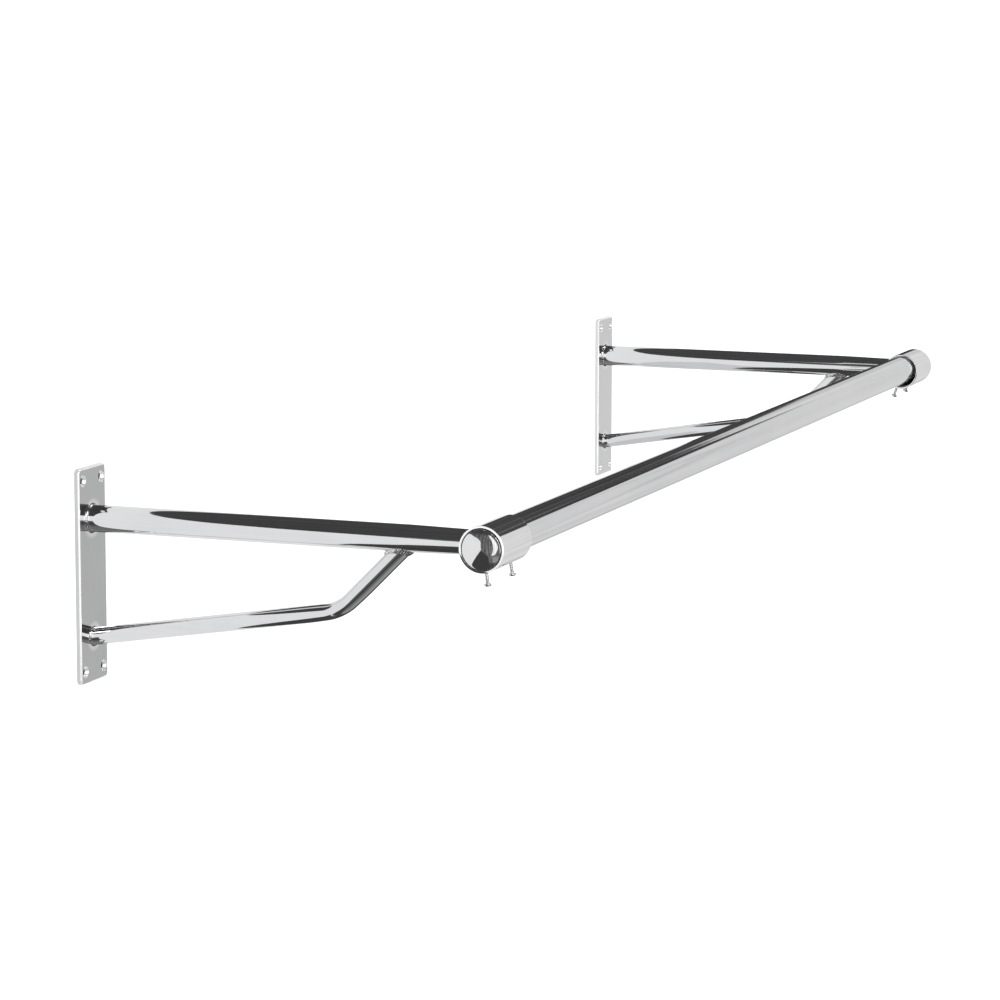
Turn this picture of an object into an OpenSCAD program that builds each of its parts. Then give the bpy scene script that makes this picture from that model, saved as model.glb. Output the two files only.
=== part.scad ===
// Wall-mounted pull up bar: a chromed crossbar held in two welded wall brackets.
// Units are millimetres. X runs along the bar, +Y goes into the wall, +Z is up.
// The origin lies on the wall, midway between the brackets, at the plates' mid height.

/* [Overall] */
// overall length over the two end sockets
total_length = 1500; // [900:1:1800]
// distance from the wall to the socket axis
reach = 400; // [300:1:600]

/* [Wall plates] */
// plate width
plate_w = 53; // [40:0.5:80]
// plate height
plate_h = 200; // [140:1:260]
// plate thickness
plate_t = 5; // [3:0.5:8]
// corner radius of the plate
plate_corner_r = 4.5; // [1:0.5:10]
// chamfer round the front edge
plate_chamfer = 1.4; // [0.2:0.1:2]
// hole centre to the side edge
hole_side_inset = 8.5; // [7:0.5:15]
// hole centre to the top or bottom edge
hole_end_inset = 11.5; // [8:0.5:20]
// diameter of the screw holes
hole_d = 6; // [4:0.1:8]
// diameter of the countersinks at the front face
countersink_d = 11.4; // [8:0.1:14]

/* [Arms] */
// outside diameter of the level arm tube
arm_d = 25; // [20:0.1:32]
// wall of the arm tube
arm_wall = 2; // [1.2:0.1:4]
// outside diameter of the arm's swaged tip
arm_tip_d = 23.2; // [18:0.1:32]
// length of the swaged tip measured back from the socket
arm_swage_length = 60; // [10:1:100]
// plain length left at the end of the swaged tip
arm_tip_plain = 7; // [2:0.5:20]
// arm axis above the plate's mid height
arm_height = 52; // [20:1:80]

/* [Braces] */
// outside diameter of the brace tube
brace_d = 16.2; // [12:0.1:25]
// wall of the brace tube
brace_wall = 1.5; // [1:0.1:3]
// brace axis at the plate, below the arm axis
brace_drop = 110; // [80:1:140]
// distance of the brace's bend from the wall
brace_bend_y = 252; // [200:1:300]
// brace bend below the arm axis
brace_bend_drop = 70; // [50:1:90]
// slope of the brace's outer leg in degrees
brace_leg_angle = 45; // [30:1:60]
// centreline radius of the brace's bend
brace_bend_r = 45; // [20:1:70]

/* [Sockets] */
// outside diameter of the socket sleeve
socket_d = 42; // [38:0.1:50]
// inside diameter of the socket sleeve
socket_bore_d = 38.4; // [35:0.1:46]
// length of the socket sleeve
socket_length = 71; // [50:1:100]
// depth of the cap's plug inside the socket
cap_plug_depth = 4; // [3:0.5:12]
// height of the cap's dome above the socket rim
cap_dome_rise = 2.8; // [0.5:0.1:5]
// width of the groove between the rim and the dome
cap_groove_w = 1.1; // [0.5:0.1:2]
// depth of that groove
cap_groove_depth = 1.4; // [0.5:0.1:3]

/* [Crossbar] */
// outside diameter of the crossbar
bar_d = 33.7; // [28:0.1:38]
// wall of the crossbar tube
bar_wall = 2; // [1.5:0.1:4]
// gap left between each bar end and its cap
bar_end_gap = 1; // [0.5:0.1:5]
// running gap between the top of the bar and the socket bore
bar_seat_gap = 0.15; // [0.1:0.05:0.5]

/* [Clamp screws] */
// shank diameter of the clamp screws
screw_d = 3.6; // [3:0.1:6]
// head diameter of the clamp screws
screw_head_d = 6.8; // [5:0.1:10]
// head height of the clamp screws
screw_head_h = 2.6; // [1.5:0.1:4]
// how far the top of each head stands off the socket
screw_stand_off = 12.5; // [6:0.5:20]
// screw axis to the end of the socket
screw_inset = 8; // [6:0.5:15]
// the same for the left outer screw, which was drilled nearer the end
left_outer_screw_inset = 6.5; // [5:0.5:15]
// tilt of the left inner screw from straight down, towards the front
left_screw_tilt = 10; // [0:1:30]
// tilt of the left outer screw from straight down, towards the front
left_outer_screw_tilt = 7; // [0:1:30]
// tilt of the right screws from straight down, towards the wall
right_screw_tilt = 17; // [0:1:30]

/* [Welds] */
// leg of the weld bead round each arm at its plate
arm_weld_leg = 2; // [1.5:0.1:5]
// leg of the weld bead round each brace at its plate
brace_weld_leg = 1.8; // [1.5:0.1:5]
// leg of the weld bead where the brace meets the arm
joint_weld_leg = 4; // [1.5:0.1:5]
// leg of the weld bead where the arm meets the socket
socket_weld_leg = 2; // [1.5:0.1:5]

/* [Hidden] */
$fn = 96;
eps = 0.02;
seam = 0.03;
bracket_x = total_length / 2 - socket_length / 2;
bar_r = bar_d / 2;
bore_r = socket_bore_d / 2;
bar_lift = bore_r - bar_r - bar_seat_gap;
bar_half = total_length / 2 - cap_plug_depth - bar_end_gap;
brace_low_y = plate_t;
brace_slope = atan((brace_drop - brace_bend_drop) / (brace_bend_y - brace_low_y));
bend_turn = brace_leg_angle - brace_slope;
bend_tangent = brace_bend_r * tan(bend_turn / 2);
lower_run = (brace_bend_y - brace_low_y) / cos(brace_slope) - bend_tangent;
leg_reach = brace_bend_drop / sin(brace_leg_angle);
screw_hole_r = screw_d / 2 + 0.08;
screw_tip_gap = 0.2;
screw_tip_chamfer = 0.6;
plug_chamfer = 0.6;
past = 6;
cut = 1;
chrome = [0.80, 0.81, 0.83];
satin = [0.68, 0.69, 0.70];
weld_tone = [0.45, 0.45, 0.46];
dark_tone = [0.30, 0.30, 0.32];

// ---------- helpers in a bracket's own frame ----------
// A bracket's frame: x = 0 on the bracket's middle, y = distance from the wall,
// z = 0 on the arm axis. place() turns that into the part's frame.

module place(side) {
    translate([side * bracket_x, 0, arm_height])
        mirror([0, 1, 0])
            children();
}

// a cylinder along the bracket's y axis, from y0 to y1
module along_y(r, y0, y1) {
    translate([0, y0, 0])
        rotate([-90, 0, 0])
            cylinder(r = r, h = y1 - y0);
}

// a cylinder along x, centred on the socket axis
module along_x(r, length) {
    translate([0, reach, 0])
        rotate([0, 90, 0])
            cylinder(r = r, h = length, center = true);
}

// the brace's lower straight, from the wall to the start of the bend
module brace_lower(r, low_extra = 0, high_extra = 0) {
    translate([0, brace_low_y, -brace_drop])
        rotate([brace_slope, 0, 0])
            translate([0, -low_extra, 0])
                rotate([-90, 0, 0])
                    cylinder(r = r, h = lower_run + low_extra + high_extra);
}

// the brace's bend, as a hollow tube
module brace_bend() {
    translate([0, brace_low_y, -brace_drop])
        rotate([brace_slope, 0, 0])
            translate([0, lower_run, brace_bend_r])
                rotate([0, 90, 0])
                    rotate_extrude(angle = bend_turn)
                        translate([brace_bend_r, 0])
                            difference() {
                                circle(d = brace_d);
                                circle(d = brace_d - 2 * brace_wall);
                            }
}

// the brace's outer leg, from the end of the bend up to and past the arm
module brace_leg(r, low_extra = 0, top_extra = 30) {
    translate([0, brace_low_y, -brace_drop])
        rotate([brace_slope, 0, 0])
            translate([0, lower_run, brace_bend_r])
                rotate([0, 90, 0])
                    rotate([0, 0, bend_turn])
                        translate([brace_bend_r, -low_extra, 0])
                            rotate([-90, 0, 0])
                                cylinder(r = r, h = leg_reach - bend_tangent + low_extra + top_extra);
}

// profile of a plate: a block whose front edge is chamfered
module chamfer_profile(width) {
    polygon([
        [-width / 2, 0],
        [width / 2, 0],
        [width / 2, plate_t - plate_chamfer],
        [width / 2 - plate_chamfer, plate_t],
        [-width / 2 + plate_chamfer, plate_t],
        [-width / 2, plate_t - plate_chamfer]
    ]);
}

// the plate lies on z = 0 with its front face up
module plate_blank() {
    cx = plate_w / 2 - plate_corner_r;
    cy = plate_h / 2 - plate_corner_r;
    rotate([90, 0, 0])
        linear_extrude(height = 2 * cy, center = true)
            chamfer_profile(plate_w);
    rotate([90, 0, 90])
        linear_extrude(height = 2 * cx, center = true)
            chamfer_profile(plate_h);
    for (sx = [-1, 1]) {
        for (sy = [-1, 1]) {
            translate([sx * cx, sy * cy, 0]) {
                cylinder(r = plate_corner_r, h = plate_t - plate_chamfer);
                translate([0, 0, plate_t - plate_chamfer - eps])
                    cylinder(r1 = plate_corner_r, r2 = plate_corner_r - plate_chamfer, h = plate_chamfer + eps);
            }
        }
    }
}

module screw_hole() {
    sink = (countersink_d - hole_d) / 2;
    translate([0, 0, -cut])
        cylinder(d = hole_d, h = plate_t + 2 * cut);
    translate([0, 0, plate_t - sink])
        cylinder(d1 = hole_d, d2 = countersink_d + 2 * cut, h = sink + cut);
}

// ring of weld round a round tube that stands on the plate, centred on z = 0
module plate_weld_ring(r, leg) {
    translate([0, plate_t + seam, 0])
        rotate([-90, 0, 0])
            rotate_extrude()
                polygon([
                    [0, 0],
                    [r + leg, 0],
                    [r + leg * 0.92, leg * 0.32],
                    [r + leg * 0.70, leg * 0.62],
                    [r + leg * 0.36, leg * 0.88],
                    [r, leg],
                    [0, leg]
                ]);
}

// ---------- brackets ----------

module wall_plate(side) {
    color(satin)
        place(side)
            translate([0, 0, -arm_height])
                rotate([-90, 0, 0])
                    difference() {
                        plate_blank();
                        for (sx = [-1, 1]) {
                            for (sy = [-1, 1]) {
                                translate([
                                    sx * (plate_w / 2 - hole_side_inset),
                                    sy * (plate_h / 2 - hole_end_inset),
                                    0
                                ])
                                    screw_hole();
                            }
                        }
                    }
}

// outer shape of the arm, with its swaged tip
module arm_solid(wall_in, y0, y1) {
    swage_y = reach - socket_d / 2 - arm_swage_length;
    translate([0, 0, 0])
        rotate([-90, 0, 0])
            rotate_extrude()
                polygon([
                    [0, y0],
                    [arm_d / 2 - wall_in, y0],
                    [arm_d / 2 - wall_in, swage_y],
                    [arm_tip_d / 2 - wall_in, swage_y + arm_swage_length - arm_tip_plain],
                    [arm_tip_d / 2 - wall_in, y1],
                    [0, y1]
                ]);
}

module arm_tube(side) {
    color(chrome)
        place(side)
            difference() {
                arm_solid(0, plate_t + seam, reach);
                arm_solid(arm_wall, plate_t - cut, reach + cut);
                along_x(socket_d / 2 + seam, socket_length + 2 * cut);
            }
}

module brace_tube(side) {
    color(chrome)
        place(side) {
            difference() {
                brace_lower(brace_d / 2, past);
                brace_lower(brace_d / 2 - brace_wall, past + cut, cut);
                translate([-brace_d, plate_t + seam - 2 * past, -brace_drop - brace_d])
                    cube([2 * brace_d, 2 * past, 2 * brace_d]);
            }
            brace_bend();
            difference() {
                brace_leg(brace_d / 2, 0, past);
                brace_leg(brace_d / 2 - brace_wall, cut, past + cut);
                along_y(arm_d / 2 + seam, 0, reach);
            }
        }
}

module arm_plate_weld(side) {
    color(weld_tone)
        place(side)
            difference() {
                plate_weld_ring(arm_d / 2, arm_weld_leg);
                along_y(arm_d / 2 + seam, 0, reach);
            }
}

module brace_plate_weld(side) {
    color(weld_tone)
        place(side)
            difference() {
                translate([0, 0, -brace_drop])
                    plate_weld_ring(brace_d / 2 + 0.2, brace_weld_leg);
                translate([0, brace_low_y, -brace_drop])
                    rotate([brace_slope, 0, 0])
                        rotate([-90, 0, 0])
                            cylinder(r = brace_d / 2 + seam, h = 10 * past, center = true);
            }
}

// share of the weld leg reached on each tube at each step of a rounded bead
weld_steps = [[1.00, 0.25], [0.90, 0.50], [0.72, 0.72], [0.50, 0.90], [0.25, 1.00]];

module brace_arm_weld(side) {
    color(weld_tone)
        place(side)
            difference() {
                for (s = weld_steps) {
                    intersection() {
                        brace_leg(brace_d / 2 + joint_weld_leg * s[0]);
                        along_y(arm_d / 2 + joint_weld_leg * s[1], brace_bend_y, reach);
                        translate([-arm_d, brace_bend_y, -2 * arm_d])
                            cube([2 * arm_d, reach - brace_bend_y, 2 * arm_d]);
                    }
                }
                brace_leg(brace_d / 2 + seam);
                along_y(arm_d / 2 + seam, 0, reach);
            }
}

module arm_socket_weld(side) {
    color(weld_tone)
        place(side)
            difference() {
                for (s = weld_steps) {
                    intersection() {
                        along_y(arm_tip_d / 2 + socket_weld_leg * s[0], reach - socket_d, reach);
                        along_x(socket_d / 2 + socket_weld_leg * s[1], socket_length);
                    }
                }
                along_y(arm_tip_d / 2 + seam, reach - 2 * socket_d, reach + cut);
                along_x(socket_d / 2 + seam, socket_length + 2 * cut);
            }
}

// ---------- sockets ----------

// end is 1 for a screw near the cap and -1 for one near the mouth
function is_left_outer(side, end) = side < 0 && end > 0;
function screw_tilt(side, end) =
    side > 0 ? right_screw_tilt : is_left_outer(side, end) ? left_outer_screw_tilt : left_screw_tilt;
function screw_x(side, end) =
    side * end * (socket_length / 2 - (is_left_outer(side, end) ? left_outer_screw_inset : screw_inset));

// points children along a clamp screw: +z runs outward from the socket axis
module screw_frame(side, end) {
    place(side)
        translate([screw_x(side, end), reach, 0])
            rotate([180 - side * screw_tilt(side, end), 0, 0])
                children();
}

module socket_sleeve(side) {
    color(chrome)
        difference() {
            place(side)
                difference() {
                    along_x(socket_d / 2, socket_length);
                    along_x(bore_r, socket_length + 2 * cut);
                }
            for (end = [-1, 1]) {
                screw_frame(side, end)
                    cylinder(r = screw_hole_r, h = socket_d);
            }
        }
}

// the cap is turned: a plug in the bore, a groove at the rim and a low dome
module end_cap(side) {
    plug_r = bore_r - seam;
    dome_r = plug_r - cap_groove_w;
    sphere_r = (dome_r * dome_r + cap_dome_rise * cap_dome_rise) / (2 * cap_dome_rise);
    dome = [
        for (i = [0 : 8])
            let (x = dome_r * (1 - i / 8))
                [x, sqrt(sphere_r * sphere_r - x * x) - (sphere_r - cap_dome_rise)]
    ];
    outline = concat(
        [
            [0, -cap_plug_depth],
            [plug_r - plug_chamfer, -cap_plug_depth],
            [plug_r, -cap_plug_depth + plug_chamfer],
            [plug_r, -cap_groove_depth],
            [dome_r, -cap_groove_depth]
        ],
        dome
    );
    color(chrome)
        translate([side * total_length / 2, -reach, arm_height])
            rotate([0, side * 90, 0])
                rotate_extrude()
                    polygon(outline);
}

module clamp_screw(side, end) {
    tilt = screw_tilt(side, end);
    lift_side = bar_lift * sin(tilt);
    tip = sqrt(bar_r * bar_r - lift_side * lift_side) - bar_lift * cos(tilt) + screw_tip_gap;
    head_top = socket_d / 2 + screw_stand_off;
    head_low = head_top - screw_head_h;
    color(dark_tone)
        screw_frame(side, end)
            difference() {
                union() {
                    translate([0, 0, tip])
                        cylinder(d1 = screw_d - 2 * screw_tip_chamfer, d2 = screw_d, h = screw_tip_chamfer);
                    translate([0, 0, tip + screw_tip_chamfer - eps])
                        cylinder(d = screw_d, h = head_low - tip - screw_tip_chamfer + 2 * eps);
                    translate([0, 0, head_low])
                        cylinder(d = screw_head_d, h = screw_head_h * 0.55);
                    translate([0, 0, head_low + screw_head_h * 0.55 - eps])
                        cylinder(d1 = screw_head_d, d2 = screw_head_d * 0.62, h = screw_head_h * 0.45 + eps);
                }
                for (a = [0, 90]) {
                    translate([0, 0, head_top])
                        rotate([0, 0, a])
                            cube([screw_head_d * 0.52, 0.9, 2.6], center = true);
                }
            }
}

// ---------- crossbar ----------

module crossbar() {
    color(chrome)
        translate([0, -reach, arm_height + bar_lift])
            rotate([0, 90, 0])
                difference() {
                    cylinder(r = bar_r, h = 2 * bar_half, center = true);
                    cylinder(r = bar_r - bar_wall, h = 2 * bar_half + 2 * cut, center = true);
                }
}

// ---------- nodes ----------

module left_wall_plate() { wall_plate(-1); }
module left_arm_tube() { arm_tube(-1); }
module left_brace_tube() { brace_tube(-1); }
module left_socket_sleeve() { socket_sleeve(-1); }
module left_end_cap() { end_cap(-1); }
module left_arm_plate_weld() { arm_plate_weld(-1); }
module left_brace_plate_weld() { brace_plate_weld(-1); }
module left_brace_arm_weld() { brace_arm_weld(-1); }
module left_arm_socket_weld() { arm_socket_weld(-1); }
module left_outer_clamp_screw() { clamp_screw(-1, 1); }
module left_inner_clamp_screw() { clamp_screw(-1, -1); }
module right_wall_plate() { wall_plate(1); }
module right_arm_tube() { arm_tube(1); }
module right_brace_tube() { brace_tube(1); }
module right_socket_sleeve() { socket_sleeve(1); }
module right_end_cap() { end_cap(1); }
module right_arm_plate_weld() { arm_plate_weld(1); }
module right_brace_plate_weld() { brace_plate_weld(1); }
module right_brace_arm_weld() { brace_arm_weld(1); }
module right_arm_socket_weld() { arm_socket_weld(1); }
module right_outer_clamp_screw() { clamp_screw(1, 1); }
module right_inner_clamp_screw() { clamp_screw(1, -1); }

crossbar();
left_wall_plate();
left_arm_tube();
left_brace_tube();
left_socket_sleeve();
left_end_cap();
left_arm_plate_weld();
left_brace_plate_weld();
left_brace_arm_weld();
left_arm_socket_weld();
left_outer_clamp_screw();
left_inner_clamp_screw();
right_wall_plate();
right_arm_tube();
right_brace_tube();
right_socket_sleeve();
right_end_cap();
right_arm_plate_weld();
right_brace_plate_weld();
right_brace_arm_weld();
right_arm_socket_weld();
right_outer_clamp_screw();
right_inner_clamp_screw();
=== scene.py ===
import math

import bmesh
import bpy
from mathutils import Matrix, Vector, noise
from mathutils.geometry import delaunay_2d_cdt


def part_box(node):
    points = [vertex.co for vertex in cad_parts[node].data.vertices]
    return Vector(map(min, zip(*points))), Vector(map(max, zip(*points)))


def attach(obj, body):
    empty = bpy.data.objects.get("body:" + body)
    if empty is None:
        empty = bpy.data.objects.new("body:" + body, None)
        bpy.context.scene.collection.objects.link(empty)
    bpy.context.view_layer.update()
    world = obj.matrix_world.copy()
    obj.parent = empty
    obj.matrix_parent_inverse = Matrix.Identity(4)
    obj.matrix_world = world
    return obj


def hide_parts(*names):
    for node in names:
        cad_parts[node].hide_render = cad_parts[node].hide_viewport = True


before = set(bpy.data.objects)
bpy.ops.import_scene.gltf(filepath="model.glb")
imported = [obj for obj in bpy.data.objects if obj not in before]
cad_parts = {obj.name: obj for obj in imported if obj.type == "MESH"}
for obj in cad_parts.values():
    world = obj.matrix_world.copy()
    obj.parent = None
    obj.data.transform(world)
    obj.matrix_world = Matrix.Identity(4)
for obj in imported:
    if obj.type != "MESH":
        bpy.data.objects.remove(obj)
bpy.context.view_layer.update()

scene = bpy.context.scene
TAU = 2 * math.pi

# ------------------------------------------------------------------ dimensions
# Everything is in metres. It is read off the CAD boxes where they show it; the rest repeats the CAD source.
BOX = {n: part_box(n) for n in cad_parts}


def mid(node, axis):
    lo, hi = BOX[node]
    return (lo[axis] + hi[axis]) / 2


def span(node, axis):
    lo, hi = BOX[node]
    return hi[axis] - lo[axis]


ARM_Z = mid("left_arm_tube", 2)
ARM_R = span("left_arm_tube", 0) / 2
TIP_R = 0.0116
SWAGE = 0.060          # the arm's narrowed end: its taper and its plain tip
TIP_PLAIN = 0.0075
SOCKET_Y = mid("left_socket_sleeve", 1)
SOCKET_R = span("left_socket_sleeve", 2) / 2
SOCKET_L = span("left_socket_sleeve", 0)
SOCKET_END_X = mid("right_socket_sleeve", 0) + SOCKET_L / 2
BORE_R = 0.0192
BAR_R = span("crossbar", 2) / 2
BAR_Z = mid("crossbar", 2)
BAR_HALF = span("crossbar", 0) / 2
BAR_WALL = 0.002
PLATE_T = span("left_wall_plate", 1)
PLATE_W = span("left_wall_plate", 0)
PLATE_H = span("left_wall_plate", 2)
PLATE_CORNER = 0.0045
PLATE_ROUND = 0.0014   # the front edge's rounding
PLATE_ARRIS = 0.0003   # the back edge's small chamfer
FRONT_Y = -PLATE_T
HOLE_R = 0.003
SINK_R = 0.0056
HOLE_INSET_X = 0.0085
HOLE_INSET_Z = 0.0115
BRACE_R = 0.0081
BRACE_DROP = 0.110
BEND_Y = -0.252
BEND_DROP = 0.070
BEND_R = 0.045
HEAD_OUT = 0.0125      # a screw head's top above the socket's side, at rest
HEAD_H = 0.0026
HEAD_R = 0.0034
SCREW_R = 0.0018
LEG = math.radians(45)
SLOPE = math.atan2(BRACE_DROP - BEND_DROP, -BEND_Y - PLATE_T)
SUNK = 0.0004          # how far a tube's end is let into the plate, so that no gap shows
SIDES = {"left": -1, "right": 1}


# ------------------------------------------------------------------ mesh helpers
def make(name, verts, faces, mats, sharp, body="brackets", face_mats=None):
    """A smooth-shaded object on a CAD body. Edges sharper than the angle, in degrees, are kept sharp."""
    me = bpy.data.meshes.new(name)
    me.from_pydata([tuple(v) for v in verts], [], faces)
    me.validate()
    for m in mats:
        me.materials.append(m)
    if face_mats:
        for p, k in zip(me.polygons, face_mats):
            p.material_index = k
    me.polygons.foreach_set("use_smooth", [True] * len(me.polygons))
    me.update()
    me.set_sharp_from_angle(angle=math.radians(sharp))
    ob = bpy.data.objects.new(name, me)
    scene.collection.objects.link(ob)
    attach(ob, body)
    return ob


def grid_faces(rows, cols, wrap_rows=False, flip=False):
    """Quads between neighbouring closed rings of vertices."""
    out = []
    for i in range(rows if wrap_rows else rows - 1):
        for j in range(cols):
            a = i * cols + j
            b = i * cols + (j + 1) % cols
            c = ((i + 1) % rows) * cols + (j + 1) % cols
            d = ((i + 1) % rows) * cols + j
            out.append((a, d, c, b) if flip else (a, b, c, d))
    return out


def lathe(name, profile, origin, side, mats, face_mat, closed, sharp=32, segs=144, body="brackets"):
    """A profile turned about an axis that points to the side, along X.
    profile: [(radius, distance along the axis), ...] in travel order.
    face_mat(i): the material of the strip after the profile's point i."""
    axis = Vector((side, 0, 0))
    u = Vector((0, 0, 1)).cross(axis).normalized()
    v = axis.cross(u)
    origin = Vector(origin)
    verts = []
    for r, t in profile:
        for k in range(segs):
            a = TAU * k / segs
            verts.append(origin + axis * t + (u * math.cos(a) + v * math.sin(a)) * r)
    faces = grid_faces(len(profile), segs, wrap_rows=closed)
    strips = len(profile) if closed else len(profile) - 1
    face_mats = [face_mat(i) for i in range(strips) for _ in range(segs)]
    return make(name, verts, faces, mats, sharp, body, face_mats)


def edit_mesh(ob, weld=None):
    """Point the normals outwards, after welding vertices that lie within the given distance."""
    bm = bmesh.new()
    bm.from_mesh(ob.data)
    if weld:
        bmesh.ops.remove_doubles(bm, verts=bm.verts, dist=weld)
    bmesh.ops.recalc_face_normals(bm, faces=bm.faces)
    bm.to_mesh(ob.data)
    bm.free()


# ------------------------------------------------------------------ node helpers
class Graph:
    """Short ways to build a node tree."""

    def __init__(self, tree):
        self.t = tree
        tree.nodes.clear()

    def add(self, kind, **props):
        n = self.t.nodes.new(kind)
        for k, v in props.items():
            setattr(n, k, v)
        return n

    def link(self, a, b):
        self.t.links.new(a, b)

    def put(self, socket, value):
        if isinstance(value, bpy.types.NodeSocket):
            self.link(value, socket)
        elif value is not None:
            socket.default_value = value

    def math(self, op, a, b=None):
        n = self.add("ShaderNodeMath", operation=op)
        self.put(n.inputs[0], a)
        self.put(n.inputs[1], b)
        return n.outputs[0]

    def times(self, a, b):
        return self.math("MULTIPLY", a, b)

    def plus(self, a, b):
        return self.math("ADD", a, b)

    def minus(self, a, b):
        return self.math("SUBTRACT", a, b)

    def size(self, a):
        return self.math("ABSOLUTE", a)

    def split(self, vec):
        n = self.add("ShaderNodeSeparateXYZ")
        self.link(vec, n.inputs[0])
        return n.outputs

    def step(self, x, lo, hi):
        """0 below lo, 1 above hi, smooth between."""
        n = self.add("ShaderNodeMapRange", interpolation_type="SMOOTHSTEP")
        self.put(n.inputs["Value"], x)
        n.inputs["From Min"].default_value = lo
        n.inputs["From Max"].default_value = hi
        return n.outputs["Result"]

    def below(self, x, lo, hi):
        """1 below lo, 0 above hi, smooth between."""
        return self.minus(1.0, self.step(x, lo, hi))

    def ramp(self, x, lo, hi, start, end):
        """From start at lo to end at hi, in a straight line."""
        n = self.add("ShaderNodeMapRange")
        self.put(n.inputs["Value"], x)
        n.inputs["From Min"].default_value = lo
        n.inputs["From Max"].default_value = hi
        self.put(n.inputs["To Min"], start)
        self.put(n.inputs["To Max"], end)
        return n.outputs["Result"]

    def mix(self, f, a, b):
        n = self.add("ShaderNodeMix", data_type="RGBA")
        factor, colour_a, colour_b = n.inputs[0], n.inputs[6], n.inputs[7]
        self.put(factor, f)
        self.put(colour_a, a)
        self.put(colour_b, b)
        return n.outputs[2]

    def noise(self, vec, scale, detail, rough):
        n = self.add("ShaderNodeTexNoise")
        self.put(n.inputs["Vector"], vec)
        n.inputs["Scale"].default_value = scale
        n.inputs["Detail"].default_value = detail
        n.inputs["Roughness"].default_value = rough
        return n.outputs[0]

    def scaled(self, vec, s):
        n = self.add("ShaderNodeMapping")
        self.put(n.inputs["Vector"], vec)
        n.inputs["Scale"].default_value = s
        return n.outputs[0]

    def bump(self, height, strength, distance, normal=None):
        n = self.add("ShaderNodeBump")
        n.inputs["Strength"].default_value = strength
        n.inputs["Distance"].default_value = distance
        self.put(n.inputs["Height"], height)
        self.put(n.inputs["Normal"], normal)
        return n.outputs[0]


# ------------------------------------------------------------------ metals
def new_material(name, shader):
    """A material whose surface is one shader node, and that node with its graph."""
    m = bpy.data.materials.new(name)
    m.use_nodes = True
    g = Graph(m.node_tree)
    out = g.add("ShaderNodeOutputMaterial")
    sh = g.add(shader)
    g.link(sh.outputs[0], out.inputs[0])
    return m, g, sh


def metal(name, bright, dull, rough, grain, grain_scale=14.0, peel=0.00002, grain_depth=0.000012,
          smudge=9.0, pits=0.0, metallic=1.0, tint=None):
    """Plated metal: two close tones, cloudy roughness, polished grain along one way, and a faint waviness.
    rough: least and most. grain: noise scale along X, Y and Z, low along the grain. smudge: scale of the
    clouds. peel, grain_depth: heights. pits: strength of the pitting. tint: changes the colour."""
    m, g, sh = new_material(name, "ShaderNodeBsdfPrincipled")
    obj = g.add("ShaderNodeTexCoord").outputs["Object"]
    cloud = g.noise(obj, smudge, detail=5.0, rough=0.6)
    lines = g.noise(g.scaled(obj, grain), grain_scale, detail=3.0, rough=0.6)
    fine = g.noise(obj, 900.0, detail=2.0, rough=0.5)
    tone = g.plus(g.times(cloud, 0.65), g.times(lines, 0.35))
    colour = g.mix(g.step(tone, lo=0.35, hi=0.68), (*bright, 1), (*dull, 1))
    g.link(tint(g, obj, colour) if tint else colour, sh.inputs["Base Color"])
    sh.inputs["Metallic"].default_value = metallic
    worn = g.plus(g.times(cloud, 0.6), g.times(fine, 0.4))
    g.link(g.ramp(worn, lo=0.32, hi=0.7, start=rough[0], end=rough[1]), sh.inputs["Roughness"])
    wave = g.noise(obj, 38.0, detail=1.0, rough=0.5)
    normal = g.bump(wave, strength=0.35, distance=peel)
    normal = g.bump(lines, strength=0.5, distance=grain_depth, normal=normal)
    if pits:
        v = g.add("ShaderNodeTexVoronoi", feature="F1")
        g.put(v.inputs["Vector"], obj)
        v.inputs["Scale"].default_value = 900.0
        hollow = g.step(v.outputs["Distance"], lo=0.05, hi=0.55)
        normal = g.bump(hollow, strength=pits, distance=0.0002, normal=normal)
    g.link(normal, sh.inputs["Normal"])
    return m


def painted_plate_highlights(g, obj, colour):
    """Painted highlights: lighter colour round each tube's root on the plate's front, and a lighter right
    plate.
    """
    ring_from, ring_to = 0.0025, 0.0075
    x, y, z = g.split(obj)
    from_axis = g.minus(g.size(x), abs(mid("left_wall_plate", 0)))
    rings = []
    for root_z, r in ((ARM_Z, ARM_R), (ARM_Z - BRACE_DROP, BRACE_R)):
        above = g.minus(z, root_z)
        d = g.math("SQRT", g.plus(g.times(from_axis, from_axis), g.times(above, above)))
        rings.append(g.below(d, lo=r + ring_from, hi=r + ring_to))
    # painted highlight: a ring of lighter colour round each tube's root
    ring = g.math("MAXIMUM", *rings)
    # painted light: the right plate is painted lighter than the left
    right = g.times(g.step(x, lo=-0.1, hi=0.1), 0.72)
    lighter = g.mix(right, colour, (0.90, 0.902, 0.905, 1))
    front = g.below(y, lo=FRONT_Y + 0.0005, hi=FRONT_Y + 0.002)
    return g.mix(g.times(g.times(ring, front), 0.9), lighter, (0.97, 0.97, 0.97, 1))


def painted_rim_shade(g, obj, colour):
    """Painted shade: the rim of the sleeve's end is painted dark low down on the wall side, where it would
    mirror the dark floor.
    """
    _, y, z = g.split(obj)
    toward = g.times(g.minus(y, SOCKET_Y), 0.5)
    down = g.times(g.minus(z, ARM_Z), -0.866)
    # mask of the painted shade, low on the wall side
    low = g.step(g.plus(toward, down), lo=0.0125, hi=0.0160)
    return g.mix(low, colour, (0.05, 0.05, 0.05, 1))


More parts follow.
